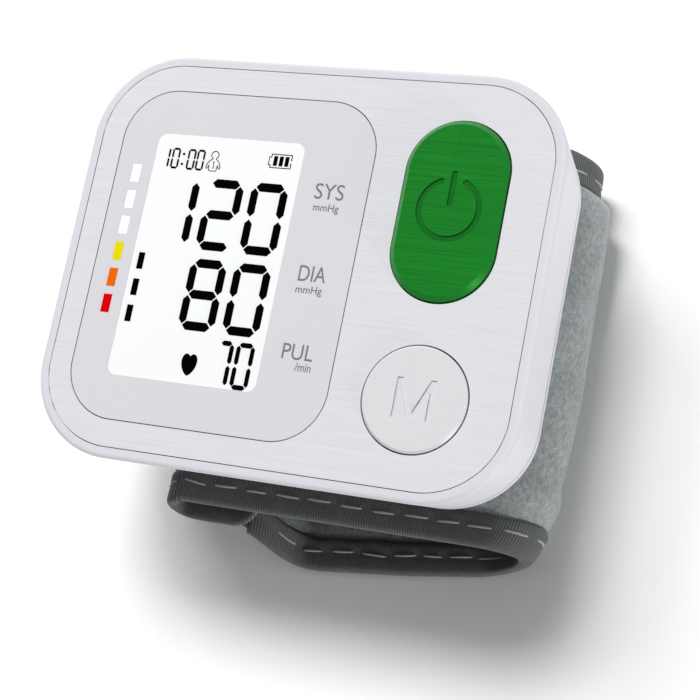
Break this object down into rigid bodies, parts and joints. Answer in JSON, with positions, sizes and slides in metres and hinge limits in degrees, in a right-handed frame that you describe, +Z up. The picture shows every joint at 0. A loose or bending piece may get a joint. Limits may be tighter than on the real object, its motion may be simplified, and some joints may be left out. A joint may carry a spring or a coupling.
{
  "type": "wrist blood pressure monitor",
  "caption": "Rounded electronic monitor with a flat display panel and push keys, carried on a soft cuff that wraps round the wrist.",
  "frame": {"origin": "middle of the footprint's bounding box, on the table", "axes": "+X to the right of the face as it is read, +Y towards the top of the face, +Z up out of the face"},
  "size_m": [0.0856, 0.0798, 0.0405],
  "materials": {
    "shell": "satin moulded plastic",
    "face_plate": "brushed, running across the face",
    "display_panel": "smooth printed film",
    "screen": "frosted",
    "backlight": "moulded",
    "rubber_strip": "moulded",
    "power_key": "brushed metallic lacquer",
    "memory_key": "brushed metallic lacquer",
    "silicone": "translucent silicone",
    "switch": "moulded",
    "switch_plunger": "moulded",
    "board": "solder mask",
    "cell": "printed sleeve, plain",
    "metal": "plated",
    "grey_plastic": "moulded",
    "fleece": "short loop fleece",
    "lining": "smooth knit",
    "binding": "ribbed elastic tape, stitched",
    "hook": "hook tape",
    "bladder": "welded sheet"
  },
  "bodies": {
    "housing": {"front_shell": "shell", "rear_shell": "shell", "face_plate": "face_plate", "display_panel": "display_panel", "lcd_glass": "screen", "lcd_backlight": "backlight", "lcd_contact_strip": "rubber_strip", "power_return_ring": "silicone", "power_switch_case": "switch", "memory_return_ring": "silicone", "memory_switch_case": "switch", "circuit_board": "board", "buzzer": "switch", "battery_bridge_contact": "metal", "battery_outer_contact": "metal", "battery_inner_contact": "metal", "pump_motor": "metal", "pump_head": "grey_plastic", "valve_body": "switch", "air_block": "grey_plastic", "pressure_sensor": "switch", "sensor_seal": "silicone", "pump_hose": "silicone", "valve_hose": "silicone", "shell_screw_1": "metal", "shell_screw_2": "metal", "shell_screw_3": "metal", "shell_screw_4": "metal", "cuff_carrier": "grey_plastic", "top_cover": "fleece", "top_lining": "lining", "top_binding_near": "binding", "top_binding_far": "binding", "bladder": "bladder", "air_nipple": "silicone"},
    "power_key": {"power_button": "power_key"},
    "power_plunger": {"power_switch_plunger": "switch_plunger"},
    "memory_key": {"memory_button": "memory_key"},
    "memory_plunger": {"memory_switch_plunger": "switch_plunger"},
    "lid": {"battery_lid": "shell"},
    "outer_cell": {"battery_outer": "cell"},
    "inner_cell": {"battery_inner": "cell"},
    "shaft": {"pump_shaft": "metal"},
    "pin": {"valve_pin": "metal"},
    "strap": {"strap_cover": "fleece", "strap_lining": "lining", "strap_binding_near": "binding", "strap_binding_far": "binding", "hook_patch": "hook"},
    "flap": {"flap_cover": "fleece", "flap_binding_near": "binding", "flap_binding_far": "binding"}
  },
  "joints": [
    {"name": "power_key_press", "type": "slide", "parent": "housing", "child": "power_key", "axis": [0, 0, -1], "range_m": [0, 0.00075], "stiffness_N_per_m": 500, "springref_m": -0.002, "deforming": ["power_return_ring"]},
    {"name": "power_plunger_press", "type": "slide", "parent": "housing", "child": "power_plunger", "axis": [0, 0, -1], "range_m": [0, 0.0005]},
    {"name": "memory_key_press", "type": "slide", "parent": "housing", "child": "memory_key", "axis": [0, 0, -1], "range_m": [0, 0.0006], "stiffness_N_per_m": 500, "springref_m": -0.002, "deforming": ["memory_return_ring"]},
    {"name": "memory_plunger_press", "type": "slide", "parent": "housing", "child": "memory_plunger", "axis": [0, 0, -1], "range_m": [0, 0.00035]},
    {"name": "outer_cell_slide", "type": "slide", "parent": "housing", "child": "outer_cell", "axis": [0, 1, 0], "range_m": [0, 0.048]},
    {"name": "battery_lid_slide", "type": "slide", "parent": "housing", "child": "lid", "axis": [0, 1, 0], "range_m": [0, 0.06]},
    {"name": "inner_cell_slide", "type": "slide", "parent": "housing", "child": "inner_cell", "axis": [0, 1, 0], "range_m": [0, 0.036]},
    {"name": "pump_shaft_spin", "type": "hinge", "parent": "housing", "child": "shaft", "pos_m": [0.01372, -0.0145, 0.0249], "axis": [1, 0, 0], "continuous": true},
    {"name": "valve_pin_slide", "type": "slide", "parent": "housing", "child": "pin", "axis": [1, 0, 0], "range_m": [0, 0.0015], "stiffness_N_per_m": 60, "springref_m": -0.002},
    {"name": "strap_open", "type": "hinge", "parent": "housing", "child": "strap", "pos_m": [0.04278, 0, 0.008], "axis": [0, -1, 0], "range_deg": [0, 110]},
    {"name": "flap_open", "type": "hinge", "parent": "housing", "child": "flap", "pos_m": [-0.0239, 0, 0.016], "axis": [0, 1, 0], "range_deg": [0, 27.5]}
  ],
  "couplings": [
    {"joint": "power_plunger_press", "follows": "power_key_press", "ratio": 0.6666},
    {"joint": "memory_plunger_press", "follows": "memory_key_press", "ratio": 0.5833},
    {"joint": "battery_lid_slide", "follows": "outer_cell_slide", "ratio": 1.25},
    {"joint": "inner_cell_slide", "follows": "outer_cell_slide", "ratio": 0.75},
    {"joint": "flap_open", "follows": "strap_open", "ratio": 0.25}
  ]
}
